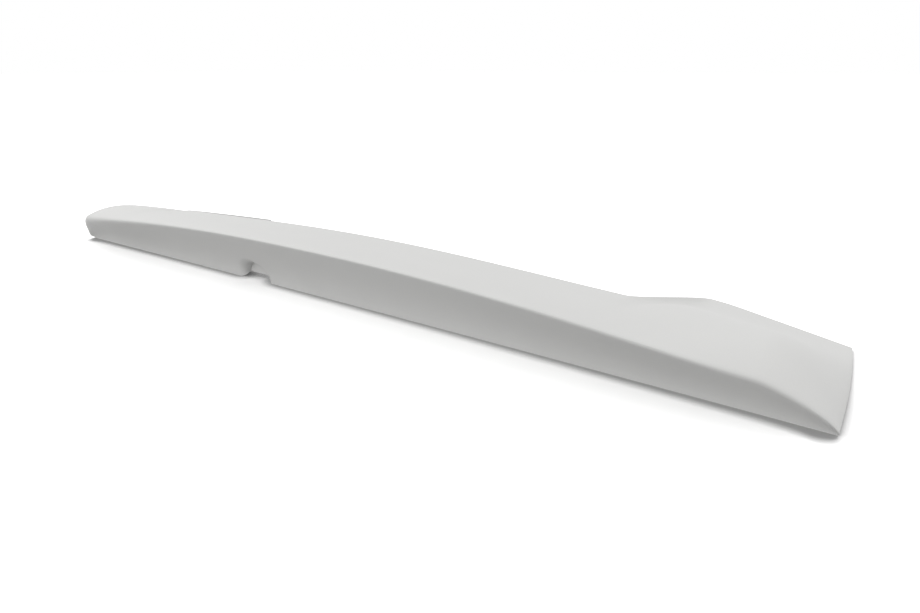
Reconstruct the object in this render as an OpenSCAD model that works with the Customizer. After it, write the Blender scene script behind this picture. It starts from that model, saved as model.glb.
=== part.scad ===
// Boot lid spoiler, a lip with two wings, moulded in one piece as a thin shell open underneath.
// X runs along the lip, Y points to the front of the car and Z is up. The origin is on the surface
// that the spoiler lies on, under the middle of its outline.

/* [Plan] */
// Overall length
length = 1200; // [1000:1:1400]
// Depth of the lip at the middle, from the rear lower edge to the front edge
lip_depth = 92; // [80:1:150]
// How much shallower the lip is where the wings begin
lip_bow = 22; // [0:1:30]
// Depth at the front corner of each wing
wing_depth = 284; // [220:1:320]
// Depth at the two ends
end_depth = 204; // [160:1:220]
// Distance from each end to the front corner of its wing
wing_corner = 168; // [140:1:220]
// Length of the curved step from the lip to the wing
wing_step = 49; // [40:1:120]
// Rounding of the front corner of each wing, measured along the lip from the corner
wing_round = 39; // [10:1:60]
// How far the rear lower edge curves in at the middle
rear_bow = 3; // [0:1:20]
// How far each end curves out between its corners
end_bow = 3; // [0:1:10]

/* [Ridge and rear face] */
// Height of the ridge at the middle
ridge_height = 85; // [60:1:110]
// Height the ridge has come down to where it meets the rounded noses
ridge_height_end = 43; // [24:1:60]
// How quickly the ridge comes down, 2 is a plain arch
ridge_power = 2.2; // [1.5:0.1:3]
// Length of the rounded nose at each end
nose_length = 71; // [40:1:90]
// Fullness of the nose, 2 is a plain ellipse
nose_power = 1.55; // [1.3:0.05:2.6]
// Thickness that is left at the tips
tip_height = 6; // [5:0.5:9]
// How far the ridge stands out behind the lower edge at the middle
overhang = 56; // [30:1:75]
// How far the ridge stands out at the ends
overhang_end = 18; // [8:1:30]
// How quickly the ridge draws in near the ends, 2 is a plain arch
overhang_power = 11.5; // [2:0.5:14]
// How high the hollow of the rear face turns, as a share of its height
hollow_turn = 0.45; // [0.3:0.05:0.6]
// Rounding of the ridge at the middle
ridge_round = 6; // [3:0.5:10]
// Rounding of the ridge at the ends
ridge_round_end = 11; // [5:0.5:16]

/* [Top and front edge] */
// Slope of the top just in front of the ridge, at the ends
top_rise_end = 0.62; // [0:0.01:0.9]
// Slope of the top where it reaches the front edge of the lip
top_fall = -0.1; // [-0.4:0.01:0.1]
// Height of the front edge along the lip
front_edge = 18; // [8:1:30]
// Height of the front edge along the wings
wing_edge = 4; // [4:0.5:8]

/* [Seat on the boot lid] */
// Arch of the seat at the middle of the rear edge
seat_arch_rear = 0; // [0:1:20]
// Arch of the seat at the middle of the front edge
seat_arch_front = 5; // [0:1:20]
// How much higher the lip seats along its front edge than along its rear edge
seat_rise = 47; // [20:1:60]
// Length from each end over which the seat is flat
seat_flat = 230; // [60:1:300]

/* [Shell] */
// Wall of the moulding
wall = 4; // [2.5:0.5:5]
// Width of the flange that turns in along the rear lower edge
rear_flange = 18; // [12:1:30]
// Width of the land along the front edge
front_land = 16; // [10:1:40]
// Length of the solid land at each end
end_land = 18; // [14:1:30]

/* [Recess in the rear face] */
// Distance from the left end to the middle of the recess
recess_from_end = 444; // [300:1:500]
// Width of the recess inside its rim
recess_width = 50; // [36:1:70]
// Height of the recess above the seat, inside its rim
recess_height = 23; // [16:1:34]
// Depth of the recess, from the rear lower edge to its back wall
recess_depth = 12; // [6:1:16]
// Radius of the rolled rim of the recess
recess_rim = 12; // [6:1:16]

/* [Hidden] */
half = length / 2;
step_end = half - wing_corner;
step_start = step_end - wing_step;
arch_half = half - seat_flat;
nose_start = half - nose_length;
under = wall * 2;
tiny = 0.01;

// Small helpers for points and curves in a section
function mix(a, b, t) = a + (b - a) * t;
function unit(v) = v / norm(v);
function ease(t) = let (c = min(1, max(0, t))) c * c * (3 - 2 * c);
function bend(a, b, c, t) = a * (1 - t) * (1 - t) + b * 2 * t * (1 - t) + c * t * t;
function bend_dir(a, b, c, t) = unit((b - a) * (1 - t) + (c - b) * t);
function run(a, b, c, d, t) = a * pow(1 - t, 3) + b * 3 * t * pow(1 - t, 2)
    + c * 3 * t * t * (1 - t) + d * pow(t, 3);
function run_dir(a, b, c, d, t) = unit((b - a) * pow(1 - t, 2) + (c - b) * 2 * t * (1 - t)
    + (d - c) * t * t);

// Lines that run along the spoiler, each a function of the distance from the middle
function share(x) = abs(x) / half;
function arch(x) = pow(max(0, 1 - pow(x / arch_half, 2)), 2);
function step(x) = ease((abs(x) - step_start) / wing_step);
function nose(x) = let (t = max(0, abs(x) - nose_start) / nose_length)
    pow(max(0, 1 - pow(t, nose_power)), 1 / nose_power);
function rear_y(x) = rear_bow * (1 - pow(share(x), 2));
function lip_y(x) = lip_depth - lip_bow * min(1, pow(x / step_start, 2));
function past_corner(d) = d < -wing_round ? 0 : d > wing_round ? d : pow(d + wing_round, 2) / wing_round / 4;
function wing_y(x) = mix(wing_depth, end_depth, past_corner(abs(x) - step_end) / wing_corner);
function front_y(x) = mix(lip_y(x), wing_y(x), step(x));
function seat_z(x, y) = let (q = (y - rear_y(x)) / (front_y(x) - rear_y(x)))
    arch(x) * mix(seat_arch_rear, seat_arch_front, q) + (1 - step(x)) * seat_rise * q;
function edge_z(x) = mix(front_edge, wing_edge, step(x));
function ridge_z(x) = tip_height + nose(x)
    * (mix(ridge_height, ridge_height_end, pow(share(x), ridge_power)) - tip_height);
function ridge_y(x) = rear_y(x) - mix(overhang, overhang_end, pow(share(x), overhang_power));

// The corner points of a section
function low(x) = [rear_y(x), seat_z(x, rear_y(x))];
function crest(x) = [ridge_y(x), ridge_z(x)];
function face_turn(x) = [low(x)[0], mix(low(x)[1], crest(x)[1], hollow_turn)];
function toe(x) = [front_y(x), seat_z(x, front_y(x))];
function brow(x) = toe(x) + [0, edge_z(x)];
function top_third(x) = (brow(x)[0] - crest(x)[0]) / 3;
function top_a(x) = crest(x) + top_third(x) * [1, top_rise_end * pow(share(x), 2) * nose(x)];
function top_b(x) = brow(x) - top_third(x) * [1, mix(top_fall, 0, step(x))];

function face(x, t) = bend(low(x), face_turn(x), crest(x), t);
function face_in(x, t) = let (d = bend_dir(low(x), face_turn(x), crest(x), t)) [d[1], -d[0]];
function top(x, t) = run(crest(x), top_a(x), top_b(x), brow(x), t);
function top_in(x, t) = let (d = run_dir(crest(x), top_a(x), top_b(x), brow(x), t)) [d[1], -d[0]];
function ridge_cut(x) = mix(ridge_round, ridge_round_end, pow(share(x), 2));
function face_share(x, d) = min(0.45, d / norm(crest(x) - low(x)));
function top_share(x, d) = d / (brow(x)[0] - crest(x)[0]);

// Outer line of a section: up the hollow rear face, round the ridge, over the top, down the front
function outer_line(x) = let (
    a = face_share(x, ridge_cut(x)), b = top_share(x, ridge_cut(x)),
    roll = edge_z(x) * 0.6, c = top_share(x, roll))
    concat(
        [for (i = [0:6]) face(x, (1 - a) * i / 6)],
        [for (i = [1:4]) bend(face(x, 1 - a), crest(x), top(x, b), i / 5)],
        [for (i = [0:13]) top(x, mix(b, 1 - c, i / 13))],
        [for (i = [1:4]) bend(top(x, 1 - c), brow(x), brow(x) - [0, roll], i / 4)],
        [toe(x)]);

// Inner line of a section: the outer line set in by the wall, above the rear flange
function inner_line(x) = let (
    n1 = face_in(x, 1), n2 = top_in(x, 0),
    reach = ridge_cut(x) + wall * 2, a = face_share(x, reach), b = top_share(x, reach),
    start = face_share(x, wall), c = top_share(x, front_land),
    corner = crest(x) + wall * (n1 + n2) / (1 + n1 * n2),
    f = face(x, 1 - a) + wall * face_in(x, 1 - a), g = top(x, b) + wall * top_in(x, b))
    concat(
        [for (i = [0:5]) let (t = mix(start, 1 - a, i / 5)) face(x, t) + wall * face_in(x, t)],
        [for (i = [1:3]) bend(f, corner, g, i / 4)],
        [for (i = [0:11]) let (t = mix(b, 1 - c, i / 11)) top(x, t) + wall * top_in(x, t)]);

function clear_flange(x, line) = [for (i = [0:len(line) - 1])
    [line[i][0], max(line[i][1], seat_z(x, line[i][0]) + (i < 9 ? wall + i * tiny : -wall / 2))]];

// Inside a nose the skin is set in by the wall from the section a wall's width further out
function cavity_line(x) = let (
    back = rear_y(x) + rear_flange, front = front_y(x) - front_land,
    out = sign(x) * wall * min(1, max(0, abs(x) - nose_start) / wall / 2))
    concat(
        [[back, seat_z(x, back) - under], [back, seat_z(x, back) + wall]],
        clear_flange(x, inner_line(x + out)),
        [[front, seat_z(x, front) - under]]);

// The ends curve out in plan between their corners
function bowed(x, y) = let (q = (y - rear_y(x)) / (front_y(x) - rear_y(x)))
    x - sign(x) * end_bow * pow(share(x), 8) * max(0, 1 - 4 * q * (1 - q));

// Places of the sections, closer together at the steps and round the noses
side = concat(
    [for (i = [1:10]) step_start * i / 10],
    [for (i = [1:8]) step_start + wing_step * i / 8],
    [for (i = [1:6]) mix(step_end, nose_start, i / 6)],
    [for (i = [1:9]) nose_start + nose_length * sin(i * 10)]);
inner_side = concat([for (x = side) if (x < half - end_land - 1) x], [half - end_land]);
function both(list) = concat([for (i = [len(list) - 1:-1:0]) -list[i]], [0], list);

// A solid through a row of closed sections with equal numbers of points. Each end is closed by a
// fan of triangles, from its section's last point or from the point given in hubs.
module loft(rings, hubs = []) {
    m = len(rings[0]);
    last = (len(rings) - 1) * m;
    hub = last + m;
    sides = [for (j = [0:len(rings) - 2]) for (i = [0:m - 1]) let (a = j * m + i, b = j * m + (i + 1) % m)
        each [[a, b, a + m], [b, b + m, a + m]]];
    caps = len(hubs) == 0
        ? [for (i = [0:m - 3]) each [[m - 1, i + 1, i], [last + m - 1, last + i, last + i + 1]]]
        : [for (i = [0:m - 1]) let (k = (i + 1) % m) each [[hub, k, i], [hub + 1, last + i, last + k]]];
    polyhedron(concat([for (r = rings) each r], hubs), concat(sides, caps), convexity = 8);
}

function outer_ring(x) = let (line = outer_line(x), y = (low(x)[0] + toe(x)[0]) / 2)
    [for (p = concat(line, [[y, seat_z(x, y)]])) [bowed(x, p[0]), p[0], p[1]]];

module outer_form() {
    loft([for (x = both(side)) outer_ring(x)]);
}

module cavity() {
    end = half - end_land;
    line = cavity_line(end);
    middle = [for (p = line) 1] * line / len(line);
    loft([for (x = both(inner_side)) [for (p = cavity_line(x)) [x, p[0], p[1]]]],
        hubs = [for (x = [-end, end]) [x, middle[0], middle[1]]]);
}

// The recess is a half round arch on straight legs. Its rim rolls in from the hollow face, whose
// depth at a height is face_y, and crosses the face at a small angle, rim_start short of a tangent.
recess_x = recess_from_end - half;
recess_r = recess_width / 2;
recess_seat = seat_z(recess_x, rear_y(recess_x));
recess_axis = recess_seat + recess_height - recess_r;
recess_foot = min(0, recess_axis) - under;
rim_start = 15;

function face_y(z) = let (a = low(recess_x), b = crest(recess_x),
    h = min(1, max(0, (z - a[1]) / (b[1] - a[1]))),
    t = h / (hollow_turn + sqrt(pow(hollow_turn, 2) + (1 - 2 * hollow_turn) * h)))
    mix(a[0], b[0], t * t);

// Points on the outline of the arch at a radius and a depth from the face, from leg to leg
function recess_ring(r, depth) = concat(
    [[recess_x + r, face_y(0) + depth, recess_foot]],
    [for (a = [0:10:180]) let (z = recess_axis + r * sin(a))
        [recess_x + r * cos(a), face_y(z) + depth, z]],
    [[recess_x - r, face_y(0) + depth, recess_foot]]);
function flat_ring(r, y) = [for (p = recess_ring(r, 0)) [p[0], y, p[2]]];

module recess(grow = 0) {
    roll = recess_rim - grow;
    centre = recess_r + recess_rim;
    deep = recess_depth * 0.9;
    lead = 8;
    loft(concat(
        [flat_ring(centre + lead, -overhang * 2)],
        [recess_ring(centre - roll * sin(rim_start) + lead * cos(rim_start),
            grow - lead * sin(rim_start))],
        [for (a = [90 - rim_start:-15:0]) recess_ring(centre - roll * cos(a),
            deep - (deep - grow) * sin(a) / cos(rim_start))],
        [flat_ring(recess_r + grow, rear_y(recess_x) + recess_depth + grow)]));
}

// Sections are drawn from the line of the two rear corners, then moved to the middle of the outline
outline_y = [for (x = concat([0], side)) for (p = outer_line(x)) p[0]];
middle_y = (min(outline_y) + max(outline_y)) / 2;

module spoiler() {
    color("gainsboro")
        translate([0, -middle_y, 0]) difference() {
            outer_form();
            difference() {
                cavity();
                recess(wall);
            }
            recess();
        }
}

spoiler();
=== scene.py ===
import math
import bpy
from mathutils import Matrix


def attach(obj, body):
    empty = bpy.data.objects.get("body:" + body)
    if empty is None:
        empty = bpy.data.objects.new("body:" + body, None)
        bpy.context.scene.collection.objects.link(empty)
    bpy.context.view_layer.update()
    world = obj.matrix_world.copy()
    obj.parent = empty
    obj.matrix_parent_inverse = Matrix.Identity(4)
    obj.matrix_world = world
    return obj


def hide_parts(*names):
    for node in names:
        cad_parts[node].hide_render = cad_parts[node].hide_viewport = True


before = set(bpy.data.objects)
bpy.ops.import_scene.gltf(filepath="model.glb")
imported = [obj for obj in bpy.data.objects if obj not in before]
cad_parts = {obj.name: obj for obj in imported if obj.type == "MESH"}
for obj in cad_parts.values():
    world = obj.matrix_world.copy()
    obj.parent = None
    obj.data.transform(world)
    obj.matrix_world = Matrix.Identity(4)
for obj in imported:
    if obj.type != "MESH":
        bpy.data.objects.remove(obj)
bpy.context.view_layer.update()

scene = bpy.context.scene

# camera, solved from the photograph's outline
cameraSet = {
    "place": (0.57498, -0.66877, 0.29362),  # metres
    "down": 21.222,                         # degrees below the horizon
    "turn": 33.375,                         # degrees towards the left end
    "lens": 24.116,                         # mm
    "sensor": 36,                           # mm across
}


def makeCamera(s):
    data = bpy.data.cameras.new("camera")
    data.sensor_width, data.lens = s["sensor"], s["lens"]
    data.clip_start, data.clip_end = 0.01, 100
    cam = bpy.data.objects.new("camera", data)
    cam.location = s["place"]
    cam.rotation_euler = (math.radians(90 - s["down"]), 0, math.radians(s["turn"]))
    scene.collection.objects.link(cam)
    scene.camera = cam


makeCamera(cameraSet)
scene.view_settings.view_transform = "Standard"
print("camera ready")


def emptyTree(owner):
    owner.use_nodes = True
    owner.node_tree.nodes.clear()
    return owner.node_tree


# links holds socket name or number -> a value, or another node's socket
def addNode(tree, kind, links, **settings):
    node = tree.nodes.new(kind)
    for name, value in settings.items():
        setattr(node, name, value)
    for socket, value in links.items():
        if isinstance(value, bpy.types.NodeSocket):
            tree.links.new(value, node.inputs[socket])
        else:
            node.inputs[socket].default_value = value
    return node


# 1 for what the camera sees directly or in a reflection, 0 for light that falls on things
def seenRay(tree):
    ray = addNode(tree, "ShaderNodeLightPath", {})
    return addNode(tree, "ShaderNodeMath", {0: ray.outputs["Is Camera Ray"],
                   1: ray.outputs["Is Glossy Ray"]}, operation="MAXIMUM").outputs[0]


# studio: a white floor, an even sky and three far lamps with soft edges
studioSet = {
    "floor": 0.50,         # share of its light that the floor gives back to the part
    "floorSeen": 3.0,      # times paler to the camera, which keeps it white
    "floorGloss": 2.0,     # times paler in a reflection
    "floorHalf": 30,       # metres from its middle to its edge
    "shadeReach": 0.02,    # metres round the part in which the seen floor darkens
    "shadeShut": 0.5,      # share of open sky at which it is darkest
    "shadeFree": 0.95,     # and at which it is plain again
    "shadeLeft": 0.32,     # share of its paleness left where it is darkest
    "sky": 0.93,           # strength of the light from all round, which is seen as white
    "lampSpread": 40,      # degrees across, for soft shadows
    "lamps": {             # degrees round from the rear, degrees up, watts on a square metre
        "rearLamp": (0, 15, 0.47),
        "leftLamp": (-110, 30, 0.22),
        "frontLamp": (180, 25, 0.10),
    },
}


# the contact shadow is only for the camera's own rays, so the part's light stays as it is
def floorPaper(s):
    mat = bpy.data.materials.new("floorPaper")
    tree = emptyTree(mat)
    near = addNode(tree, "ShaderNodeAmbientOcclusion", {"Distance": s["shadeReach"]})
    shade = addNode(tree, "ShaderNodeMapRange", {
        0: near.outputs["AO"], 1: s["shadeShut"], 2: s["shadeFree"],
        3: s["shadeLeft"] * s["floorSeen"] - s["floorGloss"],
        4: s["floorSeen"] - s["floorGloss"]})
    plain = addNode(tree, "ShaderNodeMath", {0: seenRay(tree), 1: s["floorGloss"] - 1, 2: 1},
                    operation="MULTIPLY_ADD")
    direct = addNode(tree, "ShaderNodeLightPath", {}).outputs["Is Camera Ray"]
    gain = addNode(tree, "ShaderNodeMath", {0: direct, 1: shade.outputs[0], 2: plain.outputs[0]},
                   operation="MULTIPLY_ADD")
    tint = addNode(tree, "ShaderNodeVectorMath", {0: (s["floor"],) * 3, "Scale": gain.outputs[0]},
                   operation="SCALE")
    paper = addNode(tree, "ShaderNodeBsdfDiffuse", {"Color": tint.outputs[0]})
    addNode(tree, "ShaderNodeOutputMaterial", {"Surface": paper.outputs[0]})
    return mat


def makeFloor(s):
    r = s["floorHalf"]
    mesh = bpy.data.meshes.new("floor")
    mesh.from_pydata([(-r, -r, 0), (r, -r, 0), (r, r, 0), (-r, r, 0)], [], [(0, 1, 2, 3)])
    mesh.materials.append(floorPaper(s))
    floor = bpy.data.objects.new("floor", mesh)
    scene.collection.objects.link(floor)


def makeSky(s):
    scene.world = bpy.data.worlds.new("studio")
    tree = emptyTree(scene.world)
    power = addNode(tree, "ShaderNodeMath", {0: seenRay(tree), 1: 1 - s["sky"], 2: s["sky"]},
                    operation="MULTIPLY_ADD")
    sky = addNode(tree, "ShaderNodeBackground", {"Color": (1, 1, 1, 1),
                  "Strength": power.outputs[0]})
    addNode(tree, "ShaderNodeOutputWorld", {"Surface": sky.outputs[0]})


def makeLamps(s):
    for name, (around, up, power) in s["lamps"].items():
        data = bpy.data.lights.new(name, "SUN")
        data.energy, data.angle = power, math.radians(s["lampSpread"])
        lamp = bpy.data.objects.new(name, data)
        lamp.rotation_euler = (math.radians(90 - up), 0, math.radians(around))
        scene.collection.objects.link(lamp)


makeFloor(studioSet)
makeSky(studioSet)
makeLamps(studioSet)
print("studio ready")


# the moulding's sizes in mm, shares and powers; those marked * were fitted to the photograph
# after the part's source was final, which has other values for them, or none
skinSet = {
    "length": 1200,
    "lipDepth": 92,         # rear to front, at the middle
    "lipBow": 22,           # how much less it is beside the wings
    "wingDepth": 284,       # rear to front, at the wing's front corner
    "endDepth": 204,        # and at its end
    "wingCorner": 168,      # from the end to that corner
    "wingStep": 49,         # length of the step from the lip to the wing
    "wingRound": 39,        # rounding of the right wing's corner
    "leftRound": 120,       # * and of the left wing's
    "rearBow": 3,           # how far forward the rear edge's middle lies
    "endBow": 3,            # how far in the corners of an end lie
    "ridgeHeight": 85,      # at the middle
    "ridgeHeightEnd": 43,   # at the ends, without the nose
    "ridgePower": 2.2,      # how late it falls
    "noseLength": 71,       # the rounded end
    "nosePower": 1.55,      # how full it is
    "tipHeight": 6,
    "overhang": 56,         # ridge behind the rear edge, at the middle
    "overhangEnd": 18,      # and at the ends
    "overhangPower": 11.5,  # how late it shrinks
    "tipTuck": 0.12,        # * power by which it follows the nose in to the tip
    "hollowTurn": 0.45,     # height of the hollow face's turn, as a share
    "ridgeRound": 6,        # at the middle
    "ridgeRoundEnd": 11,    # at the right end
    "leftRidgeRound": 17,   # * and at the left end
    "topRiseEnd": 0.62,     # slope at which the top leaves the ridge, at the ends
    "topFall": -0.1,        # slope at which it meets the lip's front edge
    "frontEdge": 18,        # height of the lip's front edge
    "wingEdge": 4,          # and of the right wing's
    "leftEdge": 2.5,        # * and of the left wing's
    "seatArchRear": 0,      # how much higher the seat's middle lies, at its rear
    "seatArchFront": 5,     # and at its front
    "seatRise": 47,         # how much higher the lip's front lies than its rear
    "seatFlat": 230,        # length without arch at each end
    "wall": 4,
    "rearFlange": 18,       # how far the seat reaches in from the rear edge
    "frontLand": 16,        # from the front edge
    "endLand": 18,          # and from the ends
    "recessFromEnd": 447,   # * from the left end to its middle
    "recessWidth": 50,
    "recessHeight": 26,     # *
    "recessDepth": 11,      # *
    "recessRim": 12,        # how far its rim rolls in from the rear face
}
skinGrid = {
    "straight": 132,    # columns from the middle to a nose
    "nose": 24,         # columns round a nose
    "outer": (14, 8, 30, 6, 2, 10),     # rows: face, ridge, top, front roll, drop, seat
    "inner": (1, 3, 10, 6, 24, 2, 4),   # rows: flange edge, its top, face, ridge, top, front, below
    "rimRows": 36,      # round the recess
    "rimSteps": 10,     # from its rim to its back
}
skinFixed = {
    "rollShare": 0.6,       # length of the front roll over the front edge's height
    "faceLimit": 0.45,      # most of the rear face that a rounding takes
    "innerHub": 0.4,        # where the hollow's ends close, from rear to front
    "rimDeep": 0.9,         # share of the recess's depth in which its rim rolls
    "rimTilt": 15,          # degrees left out of that roll where it leaves the rear face
    "rimLead": 8,           # mm by which the recess's cutter goes on past the rim
    "sheetJoin": 0.000002,  # metres under which points of a closed form are one
    "cutJoin": 0.00001,     # and points that cutting leaves
    "crease": 30,           # degrees above which an edge stays sharp
}
metresInMm = 0.001


# a number that varies over a mesh, worked out by Math nodes; the same sum is made only once,
# and its values are kept with it, so that no id is given out again
class Field:
    made = {}

    def __init__(self, tree, socket):
        self.tree, self.socket = tree, socket

    def calc(self, kind, *values):
        key = (kind,) + tuple(id(v) if isinstance(v, Field) else float(v) for v in values)
        if key not in Field.made:
            links = {i: v.socket if isinstance(v, Field) else v for i, v in enumerate(values)}
            node = addNode(self.tree, "ShaderNodeMath", links, operation=kind)
            Field.made[key] = (Field(self.tree, node.outputs[0]), values)
        return Field.made[key][0]

    def __add__(self, b): return self.calc("ADD", self, b)
    def __radd__(self, b): return self.calc("ADD", b, self)
    def __sub__(self, b): return self.calc("SUBTRACT", self, b)
    def __rsub__(self, b): return self.calc("SUBTRACT", b, self)
    def __mul__(self, b): return self.calc("MULTIPLY", self, b)
    def __rmul__(self, b): return self.calc("MULTIPLY", b, self)
    def __truediv__(self, b): return self.calc("DIVIDE", self, b)
    def __rtruediv__(self, b): return self.calc("DIVIDE", b, self)
    def __neg__(self): return self.calc("MULTIPLY", self, -1)
    def __pow__(self, b): return self.calc("POWER", self, b)


def sine(a): return a.calc("SINE", a)
def cosine(a): return a.calc("COSINE", a)
def absolute(a): return a.calc("ABSOLUTE", a)
def signOf(a): return a.calc("SIGN", a)
def lower(a, b): return a.calc("MINIMUM", a, b)
def higher(a, b): return a.calc("MAXIMUM", a, b)
def over(a, b): return a.calc("GREATER_THAN", a, b)
def under(a, b): return a.calc("LESS_THAN", a, b)
def mix(a, b, t): return a + (b - a) * t
def clamp(a): return higher(lower(a, 1), 0)
def ramp(a, start, length): return clamp((a - start) / length)
def ease(s): return s * s * (3 - 2 * s)


# a point in a section, as its depth y and height z
class Point:
    def __init__(self, y, z): self.y, self.z = y, z
    def __add__(self, b): return Point(self.y + b.y, self.z + b.z)
    def __sub__(self, b): return Point(self.y - b.y, self.z - b.z)
    def __mul__(self, t): return Point(self.y * t, self.z * t)
    def long(self): return (self.y * self.y + self.z * self.z) ** 0.5
    def unit(self): return self * (1 / self.long())
    def turned(self): return Point(self.z, -self.y)


# a bend from the first point to the last, drawn towards those between, at the share t of it;
# the one that ends in Way gives its direction there
def bend(a, b, c, t):
    u = 1 - t
    return a * (u * u) + b * (2 * t * u) + c * (t * t)


def bendWay(a, b, c, t):
    return ((b - a) * (1 - t) + (c - b) * t).unit()


def curve(a, b, c, d, t):
    u = 1 - t
    return a * (u * u * u) + b * (3 * t * u * u) + c * (3 * t * t * u) + d * (t * t * t)


def curveWay(a, b, c, d, t):
    u = 1 - t
    return ((b - a) * (u * u) + (c - b) * (2 * t * u) + (d - c) * (t * t)).unit()


# the lines that run along the spoiler, and the corner points of its section, at the place x
class Section:
    def __init__(self, v, x):
        self.v = v
        half = v["length"] / 2
        ax, left = absolute(x), under(x, 0)
        cornerRound = mix(v["wingRound"], v["leftRound"], left)
        wingEdge = mix(v["wingEdge"], v["leftEdge"], left)
        stepEnd = half - v["wingCorner"]
        stepStart = stepEnd - v["wingStep"]
        noseStart = half - v["noseLength"]
        self.share = ax / half
        square = self.share * self.share
        self.step = ease(ramp(ax, stepStart, v["wingStep"]))
        n = ramp(ax, noseStart, v["noseLength"])
        self.nose = higher(1 - n ** v["nosePower"], 0) ** (1 / v["nosePower"])
        flat = x / (half - v["seatFlat"])
        arch = higher(1 - flat * flat, 0)
        self.arch = arch * arch
        self.rear = v["rearBow"] * (1 - square)
        bow = lower(ax / stepStart, 1)
        lip = v["lipDepth"] - v["lipBow"] * bow * bow
        # the wing's front runs back from its corner to the end, and a parabola rounds that corner
        past = ax - stepEnd
        rounded = higher(past + cornerRound, 0)
        rounded = rounded * rounded / cornerRound / 4
        back = mix(rounded, past, over(past, cornerRound))
        wing = mix(v["wingDepth"], v["endDepth"], back / v["wingCorner"])
        self.front = mix(lip, wing, self.step)
        edge = mix(v["frontEdge"], wingEdge, self.step)
        self.roll = edge * skinFixed["rollShare"]
        ridge = mix(v["ridgeHeight"], v["ridgeHeightEnd"], self.share ** v["ridgePower"])
        self.crest = Point(
            self.rear - self.nose ** v["tipTuck"] * mix(v["overhang"], v["overhangEnd"],
                                                        self.share ** v["overhangPower"]),
            v["tipHeight"] + self.nose * (ridge - v["tipHeight"]))
        self.low = Point(self.rear, self.seat(self.rear))
        self.turn = Point(self.rear, mix(self.low.z, self.crest.z, v["hollowTurn"]))
        self.toe = Point(self.front, self.seat(self.front))
        self.brow = self.toe + Point(0, edge)
        third = (self.brow.y - self.crest.y) / 3
        self.topA = Point(self.crest.y + third,
                          self.crest.z + third * v["topRiseEnd"] * square * self.nose)
        self.topB = Point(self.brow.y - third,
                          self.brow.z - third * mix(v["topFall"], 0, self.step))
        roundEnd = mix(v["ridgeRoundEnd"], v["leftRidgeRound"], left * square)
        self.cut = mix(v["ridgeRound"], roundEnd, square)

    # how far forward y lies, 0 at the rear edge and 1 at the front
    def forward(self, y):
        return (y - self.rear) / (self.front - self.rear)

    def seat(self, y):
        q = self.forward(y)
        return (self.arch * mix(self.v["seatArchRear"], self.v["seatArchFront"], q)
                + (1 - self.step) * self.v["seatRise"] * q)

    def face(self, t): return bend(self.low, self.turn, self.crest, t)
    def faceIn(self, t): return bendWay(self.low, self.turn, self.crest, t).turned()
    def top(self, t): return curve(self.crest, self.topA, self.topB, self.brow, t)
    def topIn(self, t): return curveWay(self.crest, self.topA, self.topB, self.brow, t).turned()
    def topShare(self, d): return d / (self.brow.y - self.crest.y)

    def faceShare(self, d):
        return lower(d / (self.crest - self.low).long(), skinFixed["faceLimit"])


def rowStarts(counts):
    return [sum(counts[:i]) for i in range(len(counts) + 1)]


def outerPoint(k, row):
    n = skinGrid["outer"]
    r = rowStarts(n)
    a, b, c = k.faceShare(k.cut), k.topShare(k.cut), k.topShare(k.roll)
    ridgeA, ridgeB, rollA = k.face(1 - a), k.top(b), k.top(1 - c)
    rollB = k.brow - Point(0, k.roll)
    p = k.face(ramp(row, r[0], n[0]) * (1 - a))
    p += bend(ridgeA, k.crest, ridgeB, ramp(row, r[1], n[1])) - ridgeA
    p += k.top(mix(b, 1 - c, ramp(row, r[2], n[2]))) - ridgeB
    p += bend(rollA, k.brow, rollB, ramp(row, r[3], n[3])) - rollA
    p += (k.toe - rollB) * ramp(row, r[4], n[4])
    p += (k.low - k.toe) * ramp(row, r[5], n[5])
    return Point(p.y, mix(p.z, k.seat(p.y), over(row, r[5] + 0.5)))


# the inside of the shell: in a nose the skin is set in from a section a little further out
def innerPoint(k, far, row):
    v, wall, n = k.v, k.v["wall"], skinGrid["inner"]
    r = rowStarts(n)
    n1, n2 = far.faceIn(1), far.topIn(0)
    reach = far.cut + wall * 2
    a, b, c = far.faceShare(reach), far.topShare(reach), far.topShare(v["frontLand"])
    start = far.faceShare(wall)
    dot = n1.y * n2.y + n1.z * n2.z
    corner = far.crest + (n1 + n2) * (wall / (1 + dot))
    f = far.face(1 - a) + far.faceIn(1 - a) * wall
    g = far.top(b) + far.topIn(b) * wall

    def clear(p, height): return Point(p.y, higher(p.z, k.seat(p.y) + height))

    # shares of the face, the ridge and the top; the face stays above the flange, and the top
    # may run out a little below the seat
    def skin(t1, t2, t3):
        t, u = mix(start, 1 - a, t1), mix(b, 1 - c, t3)
        p = far.face(t) + far.faceIn(t) * wall + bend(f, corner, g, t2) - f
        p += far.top(u) + far.topIn(u) * wall - g
        return clear(p, mix(wall, wall * -0.5, over(t3, 0)))

    back, front = k.rear + v["rearFlange"], k.front - v["frontLand"]
    none = k.share * 0
    belowBack = Point(back, k.seat(back) - wall * 2)
    belowFront = Point(front, k.seat(front) - wall * 2)
    first, last = skin(none, none, none), skin(none + 1, none + 1, none + 1)
    flange = Point(back, k.seat(back) + wall)
    p = belowBack + (flange - belowBack) * ramp(row, r[0], n[0])
    p += (first - flange) * ramp(row, r[1], n[1])
    p += skin(ramp(row, r[2], n[2]), ramp(row, r[3], n[3]), ramp(row, r[4], n[4])) - first
    p += (belowFront - last) * ramp(row, r[5], n[5])
    p += (belowBack - belowFront) * ramp(row, r[6], n[6])
    return p


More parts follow.
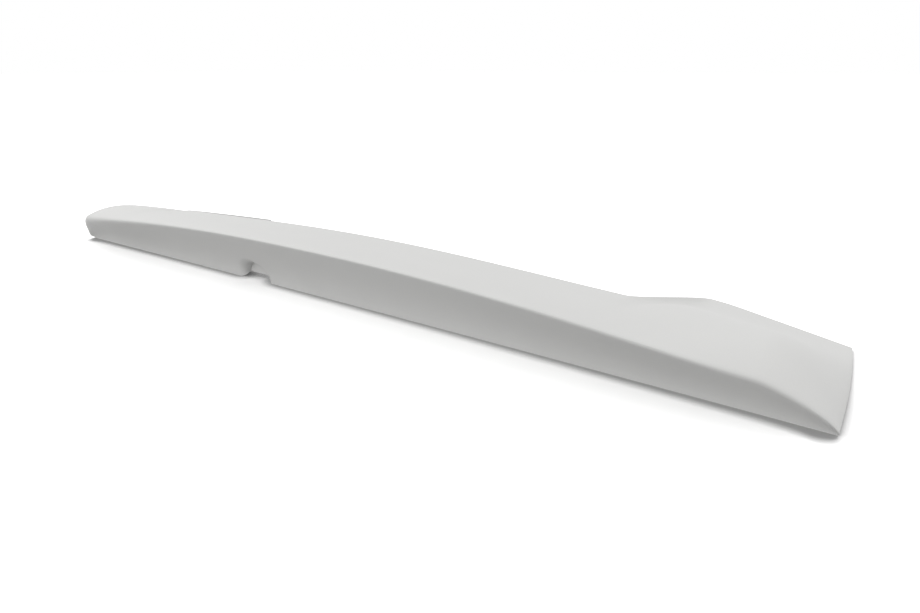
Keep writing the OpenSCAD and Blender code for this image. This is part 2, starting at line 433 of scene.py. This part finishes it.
# builds the node tree: a name for each size, three closed forms, and their differences
class SkinMaker:
    def __init__(self, sizes, finish):
        self.tree = bpy.data.node_groups.new("spoilerSkin", "GeometryNodeTree")
        face = self.tree.interface
        self.keys = {}
        for name, value in sizes.items():
            item = face.new_socket(name, in_out="INPUT", socket_type="NodeSocketFloat")
            item.default_value = value
            self.keys[name] = item.identifier
        face.new_socket("mesh", in_out="OUTPUT", socket_type="NodeSocketGeometry")
        given = self.tree.nodes.new("NodeGroupInput")
        self.v = {name: Field(self.tree, given.outputs[name]) for name in sizes}
        outer = self.form(self.outerPlace, sum(skinGrid["outer"]))
        inner = self.form(self.innerPlace, sum(skinGrid["inner"]))
        self.rimSections()
        hollow = self.less(inner, [self.recess(self.v["wall"])])
        body = self.less(outer, [hollow, self.recess(0)])
        body = addNode(self.tree, "GeometryNodeMergeByDistance",
                       {"Geometry": body, "Distance": skinFixed["cutJoin"]}).outputs[0]
        body = self.centred(body)
        body = self.smoothed(body)
        body = addNode(self.tree, "GeometryNodeRealizeInstances", {0: body}).outputs[0]
        body = addNode(self.tree, "GeometryNodeSetMaterial",
                       {"Geometry": body, "Material": finish}).outputs[0]
        out = self.tree.nodes.new("NodeGroupOutput")
        self.tree.links.new(body, out.inputs[0])

    # a sheet of columns and rows, numbered by its own positions, then put in place and closed
    def sheet(self, columns, rows, place):
        grid = addNode(self.tree, "GeometryNodeMeshGrid", {"Size X": columns, "Size Y": rows,
                       "Vertices X": columns + 1, "Vertices Y": rows + 1})
        at = self.tree.nodes.new("GeometryNodeInputPosition")
        parts = addNode(self.tree, "ShaderNodeSeparateXYZ", {0: at.outputs[0]})
        column = Field(self.tree, parts.outputs[0]) + columns / 2
        row = Field(self.tree, parts.outputs[1]) + rows / 2
        placed = place(column.calc("ROUND", column), row.calc("ROUND", row))
        x, y, z = [number * metresInMm for number in placed]
        spot = addNode(self.tree, "ShaderNodeCombineXYZ", {0: x.socket, 1: y.socket, 2: z.socket})
        moved = addNode(self.tree, "GeometryNodeSetPosition",
                        {"Geometry": grid.outputs[0], "Position": spot.outputs[0]})
        return addNode(self.tree, "GeometryNodeMergeByDistance",
                       {"Geometry": moved.outputs[0],
                        "Distance": skinFixed["sheetJoin"]}).outputs[0]

    def form(self, place, rows):
        half = skinGrid["straight"] + skinGrid["nose"] + 1
        return self.sheet(half * 2, rows, lambda c, r: place(c - half, r))

    # column number from the middle -> place along the spoiler, and 1 in the column that closes it
    def along(self, number, end):
        v, n = self.v, skinGrid["straight"]
        count = absolute(number)
        start = v["length"] / 2 - v["noseLength"]
        x = (start * lower(count / n, 1)
             + v["noseLength"] * sine(ramp(count, n, skinGrid["nose"]) * (math.pi / 2)))
        return signOf(number) * lower(x, end), over(count, n + skinGrid["nose"] + 0.5)

    def outerPlace(self, column, row):
        x, cap = self.along(column, self.v["length"] / 2)
        k = Section(self.v, x)
        p = outerPoint(k, row)
        q = clamp(k.forward(p.y))
        bow = self.v["endBow"] * k.share ** 8 * higher(1 - 4 * q * (1 - q), 0)
        hubY = mix(k.rear, k.front, 0.5)
        hub = Point(hubY, k.seat(hubY) + self.v["wingEdge"] / 2)
        return (mix(x - signOf(x) * bow, x, cap), mix(p.y, hub.y, cap), mix(p.z, hub.z, cap))

    def innerPlace(self, column, row):
        v = self.v
        x, cap = self.along(column, v["length"] / 2 - v["endLand"])
        k = Section(v, x)
        out = v["wall"] * clamp((absolute(x) - v["length"] / 2 + v["noseLength"]) / v["wall"] / 2)
        p = innerPoint(k, Section(v, x + signOf(x) * out), row)
        hubY = mix(k.rear + v["rearFlange"], k.front - v["frontLand"], skinFixed["innerHub"])
        hub = Point(hubY, k.seat(hubY) + v["wall"] * 2)
        return x, mix(p.y, hub.y, cap), mix(p.z, hub.z, cap)

    # what the recess needs to know of the section that it is in
    def rimSections(self):
        v = self.v
        self.rimX = v["recessFromEnd"] - v["length"] / 2
        self.rimK = Section(v, self.rimX)
        self.rimR = v["recessWidth"] / 2
        self.rimAxis = self.rimK.low.z + v["recessHeight"] - self.rimR
        self.rimFoot = lower(self.rimAxis, 0) - v["wall"] * 2

    # where the rear face lies at the height z: its bend, solved for the share
    def faceY(self, z):
        a, b, turn = self.rimK.low, self.rimK.crest, self.v["hollowTurn"]
        h = clamp((z - a.z) / (b.z - a.z))
        t = h / (turn + (turn * turn + (1 - 2 * turn) * h) ** 0.5)
        return mix(a.y, b.y, t * t)

    # an arch on two legs, whose rim rolls in from the hollow face, grown by the wall on the inside
    def recess(self, grow):
        v, steps, rows = self.v, skinGrid["rimSteps"], skinGrid["rimRows"]
        tilt, lead = math.radians(skinFixed["rimTilt"]), skinFixed["rimLead"]
        roll = v["recessRim"] - grow
        centre = self.rimR + v["recessRim"]
        deep = v["recessDepth"] * skinFixed["rimDeep"]

        # columns: the outer end's middle and its rim, the lead, the rolled rim, the back wall's
        # rim and its middle; rows: a foot, the arch, the other foot, and the first foot again
        def place(column, row):
            angle = ramp(row, 1, rows) * math.pi
            back = over(row, rows + 2.5)
            leg = over(absolute(row - (rows / 2 + 1)), rows / 2 + 0.5)
            arc = mix(math.pi / 2 - tilt, 0, ramp(column, 3, steps))
            radius = centre - roll * cosine(arc)
            depth = deep - (deep - grow) * sine(arc) / math.cos(tilt)
            isFar, isLead = under(column, 1.5), under(column, 2.5) * over(column, 1.5)
            isBack = over(column, 3 + steps + 0.5)
            radius = mix(radius, centre - roll * math.sin(tilt) + lead * math.cos(tilt), isLead)
            depth = mix(depth, grow - lead * math.sin(tilt), isLead)
            radius = mix(mix(radius, centre + lead, isFar), self.rimR + grow, isBack)
            cap = higher(under(column, 0.5), over(column, 4 + steps + 0.5))
            radius = radius * (1 - cap)
            x = self.rimX + radius * mix(cosine(angle), 1, back)
            z = mix(self.rimAxis + radius * sine(angle), self.rimFoot, leg * (1 - cap))
            faced = self.faceY(mix(z, 0, leg)) + depth
            y = mix(faced, v["overhang"] * -2, isFar)
            y = mix(y, self.rimK.rear + v["recessDepth"] + grow, isBack)
            return x, y, z

        return self.sheet(5 + steps, rows + 3, place)

    def less(self, body, cutters):
        cut = addNode(self.tree, "GeometryNodeMeshBoolean", {"Mesh 1": body},
                      operation="DIFFERENCE", solver="MANIFOLD")
        for cutter in cutters:
            self.tree.links.new(cutter, cut.inputs["Mesh 2"])
        return cut.outputs[0]

    # moves the middle of the outline to the origin, as the part's source does
    def centred(self, body):
        box = addNode(self.tree, "GeometryNodeBoundBox", {0: body})
        low = addNode(self.tree, "ShaderNodeSeparateXYZ", {0: box.outputs["Min"]}).outputs[1]
        high = addNode(self.tree, "ShaderNodeSeparateXYZ", {0: box.outputs["Max"]}).outputs[1]
        shift = (Field(self.tree, low) + Field(self.tree, high)) * -0.5
        move = addNode(self.tree, "ShaderNodeCombineXYZ", {1: shift.socket})
        return addNode(self.tree, "GeometryNodeSetPosition",
                       {"Geometry": body, "Offset": move.outputs[0]}).outputs[0]

    # smooth shading, with edges kept sharp where the surface turns by more than the crease
    def smoothed(self, body):
        angle = self.tree.nodes.new("GeometryNodeInputMeshEdgeAngle")
        soft = addNode(self.tree, "FunctionNodeCompare", {0: angle.outputs[0],
                       1: math.radians(skinFixed["crease"])}, data_type="FLOAT",
                       operation="LESS_THAN")
        for smooth, domain in ((True, "FACE"), (soft.outputs[0], "EDGE")):
            body = addNode(self.tree, "GeometryNodeSetShadeSmooth",
                           {"Geometry": body, "Shade Smooth": smooth}, domain=domain).outputs[0]
        return body


def makeSkin(sizes, finish):
    maker = SkinMaker(sizes, finish)
    seed = bpy.data.objects.new("seed", bpy.data.meshes.new("seed"))
    scene.collection.objects.link(seed)
    mod = seed.modifiers.new("skin", "NODES")
    mod.node_group = maker.tree
    for name, value in sizes.items():
        mod[maker.keys[name]] = float(value)
    ready = seed.evaluated_get(bpy.context.evaluated_depsgraph_get())
    mesh = bpy.data.meshes.new_from_object(ready)
    bpy.data.objects.remove(seed)
    mesh.name = "spoilerSkin"
    skin = bpy.data.objects.new("spoilerSkin", mesh)
    scene.collection.objects.link(skin)
    return skin


# satin light grey moulding: a fine grain, and long soft waves in colour and gloss
primerSet = {
    "colour": (0.655, 0.655, 0.645),
    "uneven": 0.015,        # share by which grain and waves each change the colour
    "roughness": 0.52,
    "smoother": 0.04,       # how far the waves take from it
    "rougher": 0.05,        # and add to it
    "grain": 900,           # noise scale, so about 1 mm
    "grainBump": 0.12,      # strength
    "grainHeight": 0.0002,  # metres
    "wave": 14,             # noise scale, so about 7 cm
}
noiseSpan = (0.3, 0.7)      # the range in which nearly all of a noise lies


def primerFinish(s):
    mat = bpy.data.materials.new("greyPrimer")
    tree = emptyTree(mat)
    place = addNode(tree, "ShaderNodeTexCoord", {}).outputs["Object"]
    grain = addNode(tree, "ShaderNodeTexNoise", {"Vector": place, "Scale": s["grain"],
                    "Detail": 3.0, "Roughness": 0.6}).outputs[0]
    cloud = addNode(tree, "ShaderNodeTexNoise", {"Vector": place, "Scale": s["wave"],
                    "Detail": 2.0, "Roughness": 0.45}).outputs[0]

    def spread(noise, low, high):
        return addNode(tree, "ShaderNodeMapRange", {0: noise, 1: noiseSpan[0], 2: noiseSpan[1],
                       3: low, 4: high}).outputs[0]

    speck = spread(grain, 1 - s["uneven"], 1 + s["uneven"])
    patch = spread(cloud, 1 - s["uneven"], 1 + s["uneven"])
    both = addNode(tree, "ShaderNodeMath", {0: speck, 1: patch}, operation="MULTIPLY")
    colour = addNode(tree, "ShaderNodeVectorMath", {0: s["colour"], "Scale": both.outputs[0]},
                     operation="SCALE")
    rough = spread(cloud, s["roughness"] - s["smoother"], s["roughness"] + s["rougher"])
    bump = addNode(tree, "ShaderNodeBump", {"Height": grain, "Strength": s["grainBump"],
                   "Distance": s["grainHeight"]})
    shell = addNode(tree, "ShaderNodeBsdfPrincipled", {"Base Color": colour.outputs[0],
                    "Roughness": rough, "Normal": bump.outputs[0], "IOR": 1.46})
    addNode(tree, "ShaderNodeOutputMaterial", {"Surface": shell.outputs[0]})
    return mat


skin = makeSkin(skinSet, primerFinish(primerSet))
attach(skin, "root")
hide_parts("spoiler")
print("skin ready,", len(skin.data.vertices), "points,", len(skin.data.polygons), "faces")
